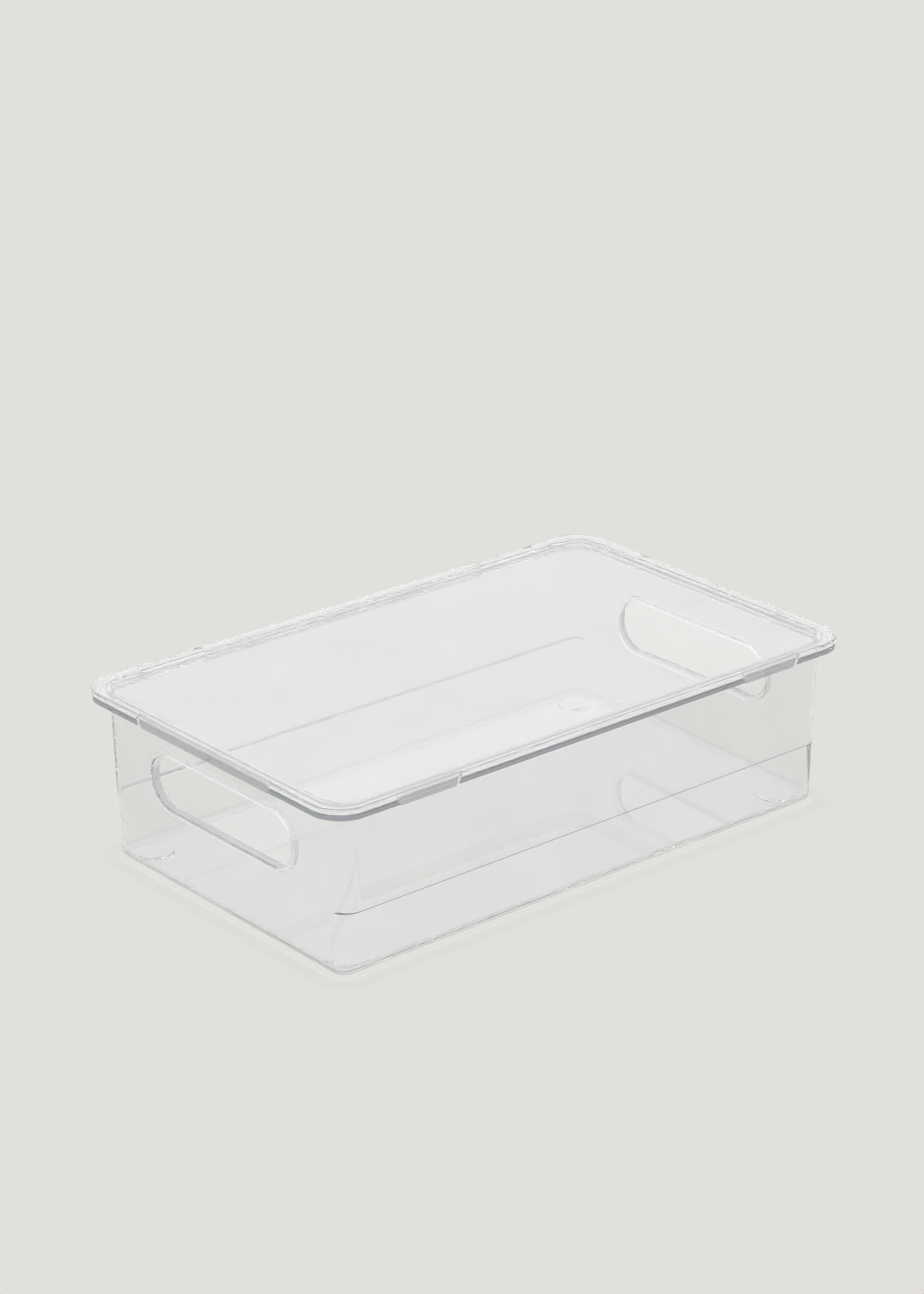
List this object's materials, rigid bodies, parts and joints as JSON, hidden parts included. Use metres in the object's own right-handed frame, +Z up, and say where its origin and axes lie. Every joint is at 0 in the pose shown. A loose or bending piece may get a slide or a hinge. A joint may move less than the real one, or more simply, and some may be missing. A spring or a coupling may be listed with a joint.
{
  "type": "fridge bin",
  "caption": "Clear rectangular stackable fridge bin with a handle slot in each short side and a lift-off recessed lid located by tabs in the rim.",
  "frame": {"origin": "centre of the footprint, on the surface the feet rest on", "axes": "+X along the long sides, +Y along the short sides, +Z up through the lid"},
  "size_m": [0.33, 0.203, 0.0915],
  "materials": {
    "tub_plastic": "clear, colourless, polished moulded plastic",
    "lid_plastic": "clear, colourless, polished moulded plastic"
  },
  "bodies": {
    "tub": {"tub": "tub_plastic"},
    "lid": {"lid": "lid_plastic"}
  },
  "joints": [
    {"name": "lid_lift", "type": "slide", "parent": "tub", "child": "lid", "axis": [0, 0, 1], "range_m": [0, 0.06]}
  ]
}
